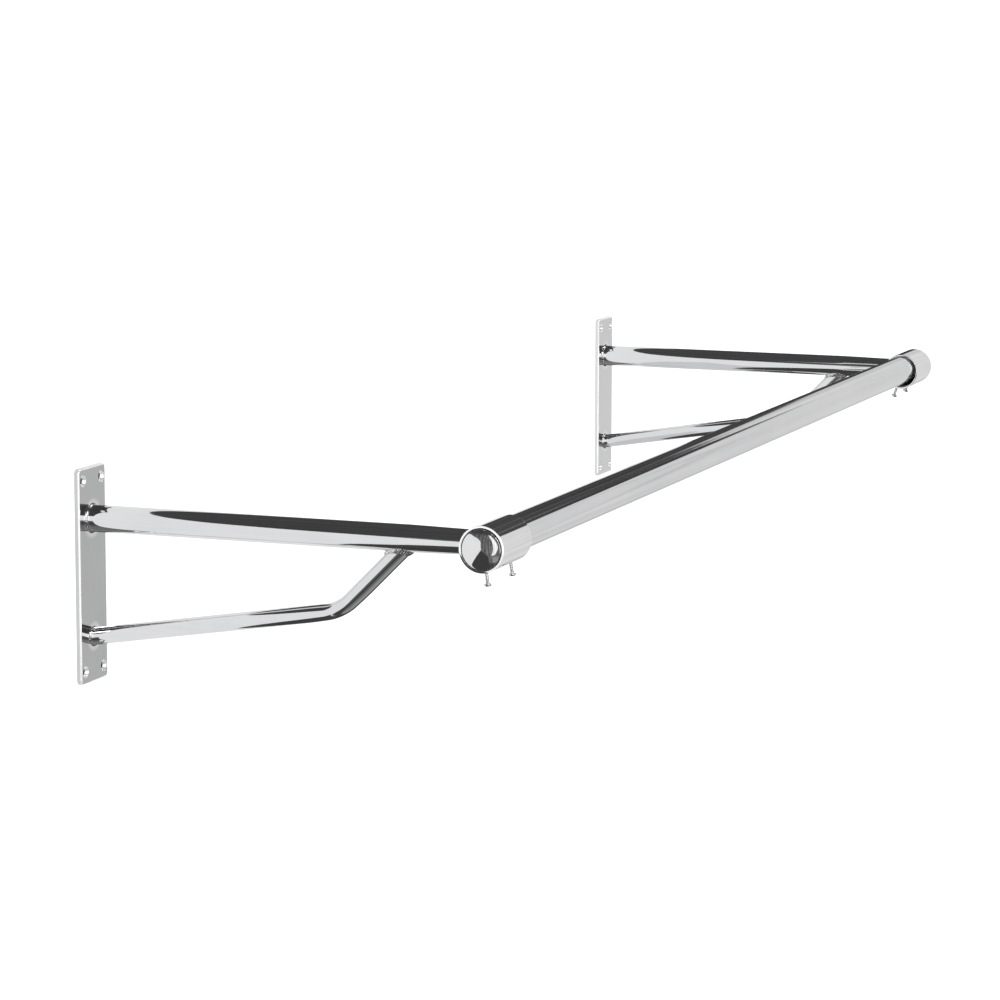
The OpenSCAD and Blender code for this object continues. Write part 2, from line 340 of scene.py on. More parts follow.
CHROME_X = metal("chrome_bar_polish", bright=(0.86, 0.865, 0.875), dull=(0.80, 0.805, 0.815),
                 rough=(0.035, 0.075), grain=(1.2, 60, 60))
CHROME_Y = metal("chrome_tube_polish", bright=(0.86, 0.865, 0.875), dull=(0.79, 0.795, 0.805),
                 rough=(0.03, 0.07), grain=(60, 1.2, 60))
CHROME_BRACE = metal("chrome_brace_polish", bright=(0.85, 0.855, 0.865), dull=(0.78, 0.785, 0.80),
                     rough=(0.035, 0.08), grain=(60, 2.0, 20))
CHROME_SOCKET = metal("chrome_socket_polish", bright=(0.96, 0.965, 0.97), dull=(0.90, 0.905, 0.91),
                      rough=(0.035, 0.08), grain=(1.5, 60, 60))
CHROME_CAP = metal("chrome_cap_polish", bright=(0.88, 0.885, 0.89), dull=(0.82, 0.825, 0.835),
                   rough=(0.02, 0.055), grain=(20, 20, 20), grain_scale=8.0, grain_depth=0.000004)
# satin plate chrome; its tint adds painted highlights round the tube roots and paints the right plate lighter
SATIN = metal("plate_satin_chrome", bright=(0.70, 0.705, 0.71), dull=(0.645, 0.65, 0.655),
              rough=(0.055, 0.115), grain=(30, 30, 1.1), grain_scale=22.0, peel=0.00001, tint=painted_plate_highlights)
# the plate's rounded edge and countersinks: a lighter, less metallic copy of the plate chrome, a painted
# highlight
EDGE = metal("plate_edge_painted_highlight", bright=(0.95, 0.95, 0.95), dull=(0.88, 0.88, 0.88),
             rough=(0.12, 0.22), grain=(20, 20, 20), smudge=80.0, metallic=0.6)
WELD = metal("weld_bead_chrome", bright=(0.70, 0.70, 0.70), dull=(0.42, 0.415, 0.41), rough=(0.14, 0.34),
             grain=(40, 40, 40), grain_scale=18.0, pits=0.5, grain_depth=0.00006, smudge=260.0)
ROOT = metal("root_bead_chrome", bright=(0.80, 0.80, 0.80), dull=(0.55, 0.55, 0.55), rough=(0.07, 0.16),
             grain=(40, 40, 40), grain_scale=18.0, grain_depth=0.00002, smudge=260.0)
JOINT = metal("joint_bead_chrome", bright=(0.95, 0.95, 0.95), dull=(0.20, 0.198, 0.195), rough=(0.10, 0.30),
              grain=(40, 40, 40), grain_scale=18.0, pits=0.6, grain_depth=0.00008, smudge=420.0)
ZINC = metal("screw_zinc", bright=(0.86, 0.865, 0.87), dull=(0.66, 0.665, 0.67), rough=(0.12, 0.24),
             grain=(60, 60, 60), grain_scale=20.0, smudge=300.0)
BORE = metal("socket_bore_chrome", bright=(0.92, 0.918, 0.91), dull=(0.40, 0.398, 0.395),
             rough=(0.30, 0.50), grain=(1.5, 60, 60), grain_depth=0.00003, smudge=420.0, metallic=0.1)
# the socket's rim: a whiter, less metallic copy of the chrome as a painted highlight, with painted shade low
# down
RIM = metal("socket_rim_painted_highlight", bright=(0.95, 0.95, 0.95), dull=(0.88, 0.88, 0.88), rough=(0.16, 0.26),
            grain=(20, 20, 20), smudge=80.0, metallic=0.4, tint=painted_rim_shade)
RAW = metal("raw_steel_bore", bright=(0.16, 0.155, 0.15), dull=(0.07, 0.068, 0.066), rough=(0.42, 0.65),
            grain=(1.5, 60, 60), grain_depth=0.00003, smudge=60.0)
# painted shade: near-black for the plate's hole walls, the cap's plug and groove, and the screw seats'
# clearance rings
PAINTED_SHADE = metal("painted_shade_dark_steel", bright=(0.10, 0.10, 0.10), dull=(0.035, 0.035, 0.036), rough=(0.4, 0.6),
             grain=(30, 30, 30), grain_scale=20.0, smudge=200.0)


# ------------------------------------------------------------------ wall plates
def plate_outline(inset):
    """The plate's outline moved inwards, as points (x, z) round its middle, with an arc at each corner."""
    corner_steps = 10
    w, h, r = PLATE_W - 2 * inset, PLATE_H - 2 * inset, PLATE_CORNER - inset
    pts = []
    for sx, sz, start in ((1, 1, 0), (-1, 1, 90), (-1, -1, 180), (1, -1, 270)):
        for i in range(corner_steps + 1):
            t = math.radians(start + 90 * i / corner_steps)
            pts.append((sx * (w / 2 - r) + r * math.cos(t), sz * (h / 2 - r) + r * math.sin(t)))
    return pts


def circle(centre, r, segs):
    x, z = centre
    return [(x + r * math.cos(TAU * i / segs), z + r * math.sin(TAU * i / segs)) for i in range(segs)]


def keep_flats(ob, sharp):
    """Mark sharp edges by their angle, and all round the flat front and back. These then keep their own
    normals, so that their long thin triangles shade evenly."""
    me = ob.data
    me.set_sharp_from_angle(angle=math.radians(sharp))
    beside = [set() for _ in me.edges]
    for p in me.polygons:
        is_flat = abs(abs(p.normal.y) - 1) < 1e-5
        for i in p.loop_indices:
            beside[me.loops[i].edge_index].add(is_flat)
    marks = me.attributes.get("sharp_edge") or me.attributes.new("sharp_edge", "BOOLEAN", "EDGE")
    for mark, kinds in zip(marks.data, beside):
        if len(kinds) == 2:
            mark.value = True


def plate_mesh(name, cx):
    """Flat plate: satin faces, a rounded front edge and countersinks painted lighter as highlight, and four
    countersunk holes whose walls are painted dark as shade.
    """
    satin, bright, dark = 0, 1, 2
    hole_segs, round_steps, sharp = 48, 5, 28
    hole_x, hole_z = PLATE_W / 2 - HOLE_INSET_X, PLATE_H / 2 - HOLE_INSET_Z
    holes = [(sx * hole_x, sz * hole_z) for sx in (-1, 1) for sz in (-1, 1)]
    verts, faces, face_mats = [], [], []

    def ring(pts, y):
        """Add a closed row of vertices and give their numbers."""
        base = len(verts)
        verts.extend((cx + x, y, z) for x, z in pts)
        return list(range(base, base + len(pts)))

    def strip(a, b, mat):
        """Add the quads between two rows."""
        k = len(a)
        for i in range(k):
            faces.append((a[i], a[(i + 1) % k], b[(i + 1) % k], b[i]))
            face_mats.append(mat)

    def skin(inset, hole_r, y, front):
        """Add a flat face with its four holes left open."""
        pts, edges = [], []
        for loop in (plate_outline(inset), *(circle(c, hole_r, hole_segs) for c in holes)):
            first = len(pts)
            pts.extend(loop)
            edges.extend((first + i, first + (i + 1) % len(loop)) for i in range(len(loop)))
        flat_pts, _, tris, *_ = delaunay_2d_cdt([Vector(p) for p in pts], edges, [], 1, 1e-9)
        base = len(verts)
        verts.extend((cx + p[0], y, p[1]) for p in flat_pts)
        for tri in tris:
            middle = sum((Vector(flat_pts[i]) for i in tri), Vector((0, 0))) / len(tri)
            if all((middle - Vector(c)).length >= hole_r - 1e-6 for c in holes):
                corners = [base + i for i in tri]
                faces.append(tuple(corners if front else reversed(corners)))
                face_mats.append(satin)

    # the rim, from the back to the front; rows close beside a rounding keep the shading of the side flat
    beside = 0.0002
    round_y = FRONT_Y + PLATE_ROUND
    rim = [(PLATE_ARRIS, 0.0), (0.0, -PLATE_ARRIS), (0.0, -PLATE_ARRIS - beside), (0.0, round_y + beside),
           (0.0, round_y)]
    round_from = len(rim) - 1
    for i in range(1, round_steps + 1):
        a = math.radians(90 * i / round_steps)
        rim.append((PLATE_ROUND * (1 - math.cos(a)), round_y - PLATE_ROUND * math.sin(a)))
    rows = [ring(plate_outline(inset), y) for inset, y in rim]
    for k, (a, b) in enumerate(zip(rows, rows[1:])):
        strip(b, a, bright if k >= round_from else satin)
    # each hole, by depth from the front: a rounded lip and the countersink, painted lighter as highlight, and
    # the hole's wall, painted dark as shade
    lip_r = SINK_R + 0.0001
    sink_depth = SINK_R - HOLE_R
    hole_profile = [(lip_r, 0.0), (SINK_R + 0.00003, 0.00002), (SINK_R - 0.00006, 0.0001),
                    (HOLE_R + 0.00005, sink_depth - 0.00004), (HOLE_R, sink_depth + 0.0001),
                    (HOLE_R, PLATE_T)]
    for c in holes:
        rings = [ring(circle(c, r, hole_segs), FRONT_Y + depth) for r, depth in hole_profile]
        for a, b in zip(rings, rings[1:]):
            strip(a, b, dark if b is rings[-1] else bright)
    skin(PLATE_ROUND, lip_r, FRONT_Y, front=True)
    skin(PLATE_ARRIS, HOLE_R, 0.0, front=False)
    ob = make(name, verts, faces, [SATIN, EDGE, PAINTED_SHADE], sharp, face_mats=face_mats)
    edit_mesh(ob, weld=1e-6)
    keep_flats(ob, sharp)
    return ob


# ------------------------------------------------------------------ tubes
def arm_mesh(name, cx):
    """Level arm: full diameter, then a swaged tip whose end is coped to the socket."""
    segs, straight_steps, taper_steps = 144, 30, 24
    coped_in = 0.0006      # how far the coped end is let into the sleeve
    soften = 0.08          # how far the taper's ends are softened
    y_root = FRONT_Y + SUNK
    y_taper = SOCKET_Y + SOCKET_R + SWAGE
    straight = y_taper - y_root
    stations = [(y_root + straight * i / straight_steps, ARM_R) for i in range(straight_steps + 1)]
    for i in range(1, taper_steps + 1):
        t = i / taper_steps
        eased = t - soften * math.sin(TAU * t) / TAU
        stations.append((y_taper - (SWAGE - TIP_PLAIN) * t, ARM_R + (TIP_R - ARM_R) * eased))
    verts = []
    for y, r in stations:
        for k in range(segs):
            a = TAU * k / segs
            verts.append((cx + r * math.cos(a), y, ARM_Z + r * math.sin(a)))
    for k in range(segs):
        a = TAU * k / segs
        z = TIP_R * math.sin(a)
        y = SOCKET_Y + math.sqrt((SOCKET_R - coped_in) ** 2 - z * z)
        verts.append((cx + TIP_R * math.cos(a), y, ARM_Z + z))
    faces = grid_faces(len(stations) + 1, segs, flip=True)
    return make(name, verts, faces, [CHROME_Y], sharp=60)


def press(s):
    """How far the bend's outer side is pressed in, as a share, s metres along from its middle."""
    reach = 0.034
    t = min(1.0, abs(s) / reach)
    return (1 - t * t) ** 2


def brace_path():
    """The centreline from the plate to inside the arm: points (y, z), heading angles, shares of press."""
    run_steps, bend_steps, leg_steps = 60, 40, 30
    short_of_axis = 0.004      # the leg stops inside the arm, this far before its axis
    turn = LEG - SLOPE
    tangent = BEND_R * math.tan(turn / 2)
    half_bend = BEND_R * turn / 2
    run = (-BEND_Y - PLATE_T) / math.cos(SLOPE) - tangent
    start = Vector((FRONT_Y, ARM_Z - BRACE_DROP))
    run_way = Vector((-math.cos(SLOPE), math.sin(SLOPE)))
    pts = []
    for i in range(run_steps + 1):
        s = -SUNK + (run + SUNK) * i / run_steps
        pts.append((start + run_way * s, SLOPE, press(s - run - half_bend)))
    centre = start + run_way * run + Vector((math.sin(SLOPE), math.cos(SLOPE))) * BEND_R
    for i in range(1, bend_steps + 1):
        a = SLOPE + turn * i / bend_steps
        inward = Vector((math.sin(a), math.cos(a)))
        pts.append((centre - inward * BEND_R, a, press(BEND_R * turn * (i / bend_steps - 0.5))))
    leg_start = pts[-1][0]
    leg_way = Vector((-math.cos(LEG), math.sin(LEG)))
    length = BEND_DROP / math.sin(LEG) - tangent - short_of_axis
    for i in range(1, leg_steps + 1):
        s = length * i / leg_steps
        pts.append((leg_start + leg_way * s, LEG, press(half_bend + s)))
    return pts


def brace_mesh(name, cx):
    """Tube along the brace's path. Its drawn bend is slightly oval, with the outer side pressed in."""
    segs = 112
    wider, flatter, pressed = 0.012, 0.02, 0.0007
    path = brace_path()
    verts = []
    for p, heading, bend in path:
        inward = Vector((math.sin(heading), math.cos(heading)))
        half_width = BRACE_R * (1 + wider * bend)
        for k in range(segs):
            t = TAU * k / segs
            rise = math.sin(t)
            off = BRACE_R * rise * (1 - flatter * bend) + pressed * bend * max(0.0, -rise) ** 2
            verts.append((cx + half_width * math.cos(t), p[0] + inward[0] * off, p[1] + inward[1] * off))
    faces = grid_faces(len(path), segs)
    return make(name, verts, faces, [CHROME_BRACE], sharp=60)


# ------------------------------------------------------------------ weld beads
def bead(name, point, along_a, along_b, leg, length, seed, amp, mat, rows, cols=13, pitch=0.0017,
         power=1.25):
    """A closed bead in the corner of two surfaces, laid as overlapping crescents.
    point(t), along_a(t), along_b(t): corner point and the ways up each surface, for t in 0..1.
    leg: its reach up a surface. length, pitch, amp: its run, and its crescents' spacing and height.
    power: 1 for a round section, 2 for a flat one. seed: shifts its unevenness."""
    tuck, back, grit_height, grit_scale = 0.00022, 0.0006, 0.00010, 1400
    slow, quick = 2.3, 9           # how fast the unevenness changes round the bead
    slow_share, quick_share = 0.22, 0.10
    lean = 0.55                    # how far a crescent's middle lags behind its ends
    verts = []
    ripples = round(length / pitch)
    for i in range(rows):
        t = i / rows
        p, da, db = point(t), along_a(t), along_b(t)
        out = (da.normalized() + db.normalized()).normalized()
        c, s = math.cos(TAU * t), math.sin(TAU * t)
        wobble_a = noise.noise(Vector((c * slow + seed, s * slow, 1.7)))
        wobble_b = noise.noise(Vector((c * slow + seed, s * slow, 6.1)))
        fine = noise.noise(Vector((c * quick + seed, s * quick, 3.3)))
        leg_a = leg * (1 + slow_share * wobble_a + quick_share * fine)
        leg_b = leg * (1 + slow_share * wobble_b - quick_share * fine)
        for j in range(cols):
            v = j / (cols - 1)
            f = v * math.pi / 2
            a = max(0.0, math.cos(f)) ** power
            b = max(0.0, math.sin(f)) ** power
            q = p + da * leg_a * a + db * leg_b * b
            crescent = ripples * t + lean * (1 - (2 * v - 1) ** 2)
            saw = crescent - math.floor(crescent)
            ridge = (1 - saw) ** 0.7 * min(1.0, saw * 7)
            body = math.sin(math.pi * v) ** 0.6
            grit = noise.noise(q * grit_scale + Vector((seed, 0, 0))) * grit_height
            q = q + out * ((ridge - 0.45) * amp * body + grit * body)
            if j in (0, cols - 1):
                q = q - out * tuck
            verts.append(q)
        verts.append(p - out * back)
    faces = grid_faces(rows, cols + 1, wrap_rows=True)
    ob = make(name, verts, faces, [mat], sharp=75)
    edit_mesh(ob)
    return ob


def spoke(t):
    """The way out from a tube's axis, parallel to the wall, at share t of a turn."""
    return Vector((math.cos(TAU * t), 0, math.sin(TAU * t)))


def tangent_on(normal, away):
    """The way along a surface that leads most directly away."""
    return (away - normal * away.dot(normal)).normalized()


def brace_ring(centre, slope, t):
    """A point on the brace's surface at share t of a turn, round a point of its centreline."""
    a = TAU * t
    up = Vector((0, math.sin(slope), math.cos(slope)))
    return centre + Vector((1, 0, 0)) * BRACE_R * math.cos(a) + up * BRACE_R * math.sin(a)


def arm_plate_bead(name, cx, seed):
    def point(t):
        a = TAU * t
        return Vector((cx + ARM_R * math.cos(a), FRONT_Y, ARM_Z + ARM_R * math.sin(a)))

    def along_arm(_):
        return Vector((0, -1, 0))
    return bead(name, point, spoke, along_arm, leg=0.0015, length=TAU * ARM_R, seed=seed, amp=0.00006,
                mat=ROOT, rows=360)


def brace_plate_bead(name, cx, seed):
    ax = Vector((0, -math.cos(SLOPE), math.sin(SLOPE)))
    root = Vector((cx, FRONT_Y, ARM_Z - BRACE_DROP))

    def point(t):
        q = brace_ring(root, SLOPE, t)
        return q + ax * ((FRONT_Y - q.y) / ax.y)

    def along_brace(_):
        return ax
    return bead(name, point, spoke, along_brace, leg=0.0014, length=TAU * BRACE_R, seed=seed, amp=0.00006,
                mat=ROOT, rows=260, pitch=0.0015)


def brace_arm_bead(name, cx, seed):
    """The biggest bead. It reaches less far along the arm than down the brace."""
    arm_share = 0.42
    ax = Vector((0, -math.cos(LEG), math.sin(LEG)))
    foot = Vector((cx, BEND_Y, ARM_Z - BEND_DROP))

    def point(t):
        """Where the line up the brace's surface meets the arm."""
        q = brace_ring(foot, LEG, t)
        dx, dz = q.x - cx, q.z - ARM_Z
        b = dz * ax.z
        disc = b * b - ax.z * ax.z * (dx * dx + dz * dz - ARM_R * ARM_R)
        s = (-b - math.sqrt(max(0.0, disc))) / (ax.z * ax.z)
        return q + ax * s

    def along_arm(t):
        p = point(t)
        normal = Vector((p.x - cx, 0, p.z - ARM_Z)).normalized()
        rel = p - foot
        away = rel - ax * rel.dot(ax)
        return tangent_on(normal, away.normalized()) * arm_share

    def down_brace(_):
        return -ax
    return bead(name, point, along_arm, down_brace, leg=0.0050, length=0.062, seed=seed, amp=0.00050,
                mat=JOINT, rows=300, cols=17, pitch=0.0021, power=1.1)


def arm_socket_bead(name, cx, seed):
    def point(t):
        a = TAU * t
        z = TIP_R * math.sin(a)
        return Vector((cx + TIP_R * math.cos(a), SOCKET_Y + math.sqrt(SOCKET_R ** 2 - z * z), ARM_Z + z))

    def along_socket(t):
        p = point(t)
        normal = Vector((0, p.y - SOCKET_Y, p.z - ARM_Z)).normalized()
        return tangent_on(normal, spoke(t))

    def along_arm(_):
        return Vector((0, 1, 0))
    return bead(name, point, along_socket, along_arm, leg=0.0018, length=TAU * TIP_R, seed=seed,
                amp=0.00010, mat=WELD, rows=300, pitch=0.0016)


# ------------------------------------------------------------------ socket, cap, bar
def quarter(steps):
    """The angles of a quarter turn."""
    return [math.pi / 2 * i / steps for i in range(steps + 1)]


def sleeve_mesh(name, side, cx):
    """Socket sleeve: polished outside, with a satin bore and a rougher, less metallic rim at the cap's end
    whose whiter look is a painted highlight. The profile runs from the bore's inner end along the outside to
    the cap's end, and back through the bore."""
    chrome, bore, rim = 0, 1, 2
    h = SOCKET_L / 2
    inner_round, outer_round, beside, long_steps = 0.00025, 0.0006, 0.0002, 12
    r_in = SOCKET_R - inner_round
    r_out = SOCKET_R - outer_round
    profile = [(BORE_R, -h + 0.0003), (BORE_R + 0.0002, -h)]
    for a in quarter(6):
        profile.append((r_in + inner_round * math.sin(a), -h + inner_round - inner_round * math.cos(a)))
    profile.append((SOCKET_R, -h + inner_round + beside))
    profile += [(SOCKET_R, -h + 2 * h * k / long_steps) for k in range(1, long_steps)]
    rim_from = len(profile)
    profile.append((SOCKET_R, h - outer_round - beside))
    for a in quarter(6):
        profile.append((r_out + outer_round * math.cos(a), h - outer_round + outer_round * math.sin(a)))
    profile.append((BORE_R + 0.0003, h - 0.0001))
    bore_from = len(profile)
    profile += [(BORE_R, h - 0.0004), (BORE_R, 0.0)]

    def face_mat(i):
        if i >= bore_from:
            return bore
        return rim if i >= rim_from else chrome
    origin = (cx, SOCKET_Y, ARM_Z)
    return lathe(name, profile, origin, side, [CHROME_SOCKET, BORE, RIM], face_mat, closed=True)


def cap_mesh(name, side):
    """Pressed cap: plug, a groove inside the socket's rim, a rolled shoulder and a low polished dome."""
    chrome, dark = 0, 1
    plug_r = BORE_R - 0.00003
    dome_r = BORE_R - 0.00113
    rise = 0.0028
    shoulder = 0.0004
    back, groove_floor, shoulder_x = -0.004, -0.0014, -0.0003
    sphere = (dome_r ** 2 + rise ** 2) / (2 * rise)
    profile = [(0.0, back), (plug_r - 0.0006, back), (plug_r, back + 0.0006), (plug_r, groove_floor)]
    # the plug and the groove's floor are painted dark, as painted shade in the groove
    dark_until = len(profile)
    profile += [(dome_r + 0.0001, groove_floor), (dome_r, groove_floor + 0.0003), (dome_r, shoulder_x)]
    for i in range(1, 6):
        a = math.radians(15 * i)
        profile.append((dome_r - shoulder * (1 - math.cos(a)), shoulder_x + shoulder * math.sin(a)))
    dome_steps = 25
    for i in range(1, dome_steps + 1):
        r = (dome_r - shoulder) * (1 - i / dome_steps)
        profile.append((r, math.sqrt(sphere ** 2 - r * r) - (sphere - rise)))

    def face_mat(i):
        return dark if i < dark_until else chrome
    origin = (side * SOCKET_END_X, SOCKET_Y, ARM_Z)
    return lathe(name, profile, origin, side, [CHROME_CAP, PAINTED_SHADE], face_mat, closed=False, sharp=40,
                 segs=160)


def bar_mesh():
    """Straight tube with open ends and rounded rims."""
    chrome, raw = 0, 1
    h, r, inner_r, edge, long_steps = BAR_HALF, BAR_R, BAR_R - BAR_WALL, 0.0005, 80
    profile = [(inner_r, -h), (r - edge, -h)]
    for a in quarter(4)[1:]:
        profile.append((r - edge + edge * math.sin(a), -h + edge - edge * math.cos(a)))
    profile += [(r, -h + 2 * h * k / long_steps) for k in range(1, long_steps)]
    for a in quarter(4):
        profile.append((r - edge + edge * math.cos(a), h - edge + edge * math.sin(a)))
    bore_from = len(profile)
    profile += [(inner_r, h), (inner_r, 0.0)]

    def face_mat(i):
        return chrome if i < bore_from else raw
    return lathe("crossbar_tube", profile, (0, SOCKET_Y, BAR_Z), 1, [CHROME_X, RAW], face_mat, closed=True,
                 segs=192, body="crossbar")


# ------------------------------------------------------------------ clamp screws
def screw_tilt(node):
    """How far the screw leans from straight down, as an angle. The left bracket's two screws lean less."""
    return math.radians({"left_outer_clamp_screw": 7, "left_inner_clamp_screw": 10}.get(node, 17))


def screw_axes(side, tilt):
    """The way out along the screw, leaning to the wall on the right and away from it on the left, and the two
    ways across it."""
    ax = Vector((0, side * math.sin(tilt), -math.cos(tilt)))
    u = Vector((1, 0, 0))
    return ax, u, ax.cross(u)


def clamp(value):
    return min(1.0, max(0.0, value))


def cross_recess(x, y):
    """Depth of the cross that is cut in a screw's head, at x, y from the head's middle."""
    half_width, side_slope = 0.00048, 0.00016
    half_length, end_slope = 0.0019, 0.0003
    deepest = 0.0015
    depth = 0.0
    for across, along in ((x, y), (y, x)):
        wide = clamp((half_width - abs(across)) / side_slope)
        far = clamp((half_length - abs(along)) / end_slope)
        depth = max(depth, wide * far * (deepest - 0.5 * abs(along)))
    return depth


def screw_mesh(name, side, x, node):
    """Pan-head screw: a flat point, a cut thread, a plain neck, and a rounded head with a cross recess."""
    segs = 64
    pitch, rows_per_pitch, thread_depth = 0.0007, 8, 0.00038
    fade_in, fade_out = 0.0009, 0.0006     # how the thread runs out at the point and at the neck
    taper, taper_length, chamfer = 0.0004, 0.0007, 0.0002
    neck = 0.0009
    clear = 0.0002                         # between the point and the bar
    tilt = screw_tilt(node)
    ax, u, v = screw_axes(side, tilt)
    centre = Vector((x, SOCKET_Y, ARM_Z))
    lift = BAR_Z - ARM_Z
    tip = math.sqrt(BAR_R ** 2 - (lift * math.sin(tilt)) ** 2) - lift * math.cos(tilt) + clear
    top = SOCKET_R + HEAD_OUT
    low = top - HEAD_H
    thread_top = low - neck
    verts = []

    def ring(radius_and_height):
        """Add a ring of vertices, with its radius and its height along the screw given for each angle."""
        for k in range(segs):
            a = TAU * k / segs
            r, t = radius_and_height(a, k)
            verts.append(centre + ax * t + (u * math.cos(a) + v * math.sin(a)) * r)

    def plain(r, t):
        ring(lambda a, k: (r, t))

    def threaded(t):
        fade = clamp((t - tip) / fade_in) * clamp((thread_top - t) / fade_out)
        point = taper * (1 - clamp((t - tip) / taper_length))

        def cut(a, k):
            turn = (t / pitch - k / segs) % 1.0
            crest = 1 - abs(2 * turn - 1)
            return SCREW_R - thread_depth * fade * (1 - crest) - point, t
        ring(cut)

    def domed(r):
        height = head_top + (top - head_top) * (1 - (r / head_r) ** 2)
        ring(lambda a, k: (r, height - cross_recess(r * math.cos(a), r * math.sin(a))))

    plain(0.0, tip)
    plain(SCREW_R - taper - chamfer, tip)
    thread_rows = int((thread_top - tip) / pitch * rows_per_pitch)
    for i in range(thread_rows + 1):
        threaded(tip + chamfer + (thread_top - tip - chamfer) * i / thread_rows)
    # the plain neck, the fillet under the head, the head's side and its rolled edge
    side_top = low + 0.0010
    roll_in, roll_up = 0.0011, 0.0012
    profile = [(SCREW_R, thread_top + 0.0003), (SCREW_R, low - 0.0003), (SCREW_R + 0.0002, low - 0.00006),
               (SCREW_R + 0.0004, low), (HEAD_R - 0.0002, low), (HEAD_R, low + 0.0002), (HEAD_R, side_top)]
    for a in quarter(8)[1:]:
        profile.append((HEAD_R - roll_in * (1 - math.cos(a)), side_top + roll_up * math.sin(a)))
    for r, t in profile:
        plain(r, t)
    head_r, head_top = profile[-1]
    dome_rows = 28
    for i in range(1, dome_rows + 1):
        domed(head_r * (1 - i / dome_rows))
    faces = grid_faces(len(verts) // segs, segs, flip=True)
    return make(name, verts, faces, [ZINC], sharp=38, body=node)


def screw_seat(name, side, x, node):
    """Burr, and the clearance ring where a clamp screw enters the socket painted dark as shade, following its
    round side.
    """
    chrome, dark = 0, 1
    segs = 64
    ax, u, v = screw_axes(side, screw_tilt(node))
    # radius, and height above the socket's side
    profile = [(SCREW_R + 0.00004, -0.0004), (0.00200, 0.00006), (0.00222, 0.00016), (0.00248, 0.00014),
               (0.00270, -0.0001)]
    verts = []
    for r, up in profile:
        for k in range(segs):
            a = TAU * k / segs
            q = u * r * math.cos(a) + v * r * math.sin(a)
            lateral = r * math.sin(a)
            t = math.sqrt((SOCKET_R + up) ** 2 - lateral ** 2)
            verts.append(Vector((x, SOCKET_Y, ARM_Z)) + q + ax * t)
    faces = grid_faces(len(profile), segs)
    # the innermost strip, the clearance ring, is painted dark as shade
    face_mats = [dark] * segs + [chrome] * (len(faces) - segs)
    return make(name, verts, faces, [CHROME_SOCKET, PAINTED_SHADE], sharp=60, face_mats=face_mats)


# ------------------------------------------------------------------ build
bar = bar_mesh()
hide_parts("crossbar")
for s, side in SIDES.items():
    cx = mid(s + "_wall_plate", 0)
    sx = mid(s + "_socket_sleeve", 0)
    seed = 3.1 if side < 0 else 17.4
    for ob, node, slot in (
        (plate_mesh(s + "_plate", cx), s + "_wall_plate", "plate_chrome"),
        (arm_mesh(s + "_arm", cx), s + "_arm_tube", "chrome_tube"),
        (brace_mesh(s + "_brace", cx), s + "_brace_tube", "chrome_tube"),
        (sleeve_mesh(s + "_sleeve", side, sx), s + "_socket_sleeve", "chrome_socket"),
        (cap_mesh(s + "_cap", side), s + "_end_cap", "chrome_cap"),
        (arm_plate_bead(s + "_arm_root_bead", cx, seed), s + "_arm_plate_weld", "weld_metal"),
        (brace_plate_bead(s + "_brace_root_bead", cx, seed + 2), s + "_brace_plate_weld", "weld_metal"),
        (brace_arm_bead(s + "_brace_top_bead", cx, seed + 4), s + "_brace_arm_weld", "weld_metal"),
        (arm_socket_bead(s + "_arm_tip_bead", cx, seed + 6), s + "_arm_socket_weld", "weld_metal"),
    ):
        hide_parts(node)
    for p in ("outer", "inner"):
        node = f"{s}_{p}_clamp_screw"
        x = mid(node, 0)
        ob = screw_mesh(f"{s}_{p}_screw", side, x, node)
        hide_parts(node)
        seat = screw_seat(f"{s}_{p}_screw_seat", side, x, node)


# ------------------------------------------------------------------ studio
def card(name, corners, strength):
    """A flat bright or dark panel that only shows in reflections."""
    me = bpy.data.meshes.new(name)
    me.from_pydata(corners, [], [tuple(range(len(corners)))])
    me.update()
    m, _, shader = new_material(name, "ShaderNodeEmission")
    shader.inputs["Strength"].default_value = strength
    me.materials.append(m)
    ob = bpy.data.objects.new(name, me)
    scene.collection.objects.link(ob)
    ob.visible_camera = False
    ob.visible_diffuse = False
    ob.visible_shadow = False


def floor():
    """A wide matt white disc, far below, that mirrored surfaces don't see."""
    z, r, n = -2.1, 60.0, 24
    verts = [(0, 0, z)] + [(r * math.cos(TAU * i / n), r * math.sin(TAU * i / n), z) for i in range(n)]
    me = bpy.data.meshes.new("studio_floor")
    me.from_pydata(verts, [], [(0, 1 + i, 1 + (i + 1) % n) for i in range(n)])
    me.update()
    m, _, shader = new_material("studio_floor", "ShaderNodeBsdfPrincipled")
    shader.inputs["Base Color"].default_value = (0.97, 0.97, 0.97, 1)
    shader.inputs["Roughness"].default_value = 0.9
    shader.inputs["Specular IOR Level"].default_value = 0.0
    me.materials.append(m)
    ob = bpy.data.objects.new("studio_floor", me)
    scene.collection.objects.link(ob)
    ob.visible_glossy = False


floor()
# the lit wall behind the plates, in two tones that meet without a gap, and a dark shape beside the left cap
CARD_Y = 0.006
WALL_RIGHT = ((0.25, -0.13), (2.6, -0.13), (2.6, -0.56), (0.25, -0.56))
WALL = ((-1.60, 0.205), (-0.714, 0.212), (1.0, 0.212), (1.0, -0.13), (0.25, -0.13), (0.25, -0.56),
        (-1.28, -0.575), (-1.58, -0.61), (-1.92, -0.20), (-1.88, 0.15))
FLAG_X = -0.80
FLAG = ((-0.384, 0.0438), (-0.345, -0.003), (-0.345, -0.10), (-0.402, -0.10), (-0.402, 0.03))
card("wall_card_right", [(x, CARD_Y, z) for x, z in WALL_RIGHT], strength=0.66)
card("wall_card", [(x, CARD_Y, z) for x, z in WALL], strength=0.86)
card("cap_flag", [(FLAG_X, y, z) for y, z in FLAG], strength=0.05)

